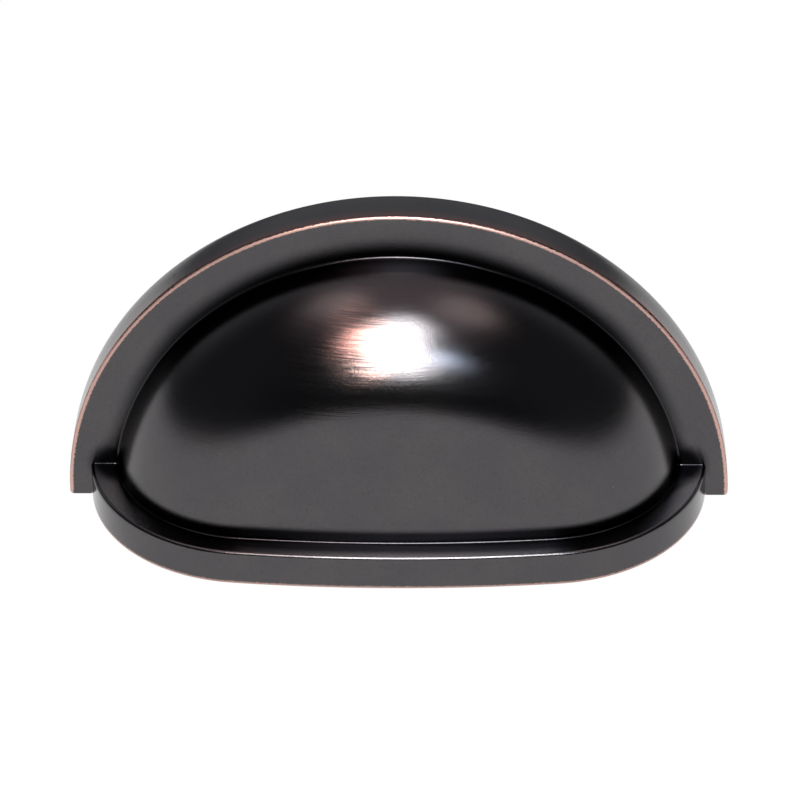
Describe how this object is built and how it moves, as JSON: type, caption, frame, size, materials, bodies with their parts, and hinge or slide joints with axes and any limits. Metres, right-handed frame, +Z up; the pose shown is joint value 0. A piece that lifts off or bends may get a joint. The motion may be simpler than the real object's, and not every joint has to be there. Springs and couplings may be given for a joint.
{
  "type": "cup pull",
  "caption": "Half-round cup pull cast in one piece: a hollow half dish on a flat flange, with a raised lip round its finger opening and tapped screw bosses behind.",
  "frame": {"origin": "midpoint between the two screw holes, on the plane of the back that seats on the drawer face", "axes": "+X along the width of the pull, +Y into the drawer front along the screw holes, +Z up, away from the finger opening"},
  "size_m": [0.096, 0.0284, 0.048],
  "materials": {
    "dark_bronze": "near-black satin bronze finish over die-cast zinc, rubbed through to copper along the outer edges"
  },
  "bodies": {
    "root": {"cup_pull": "dark_bronze"}
  },
  "joints": []
}
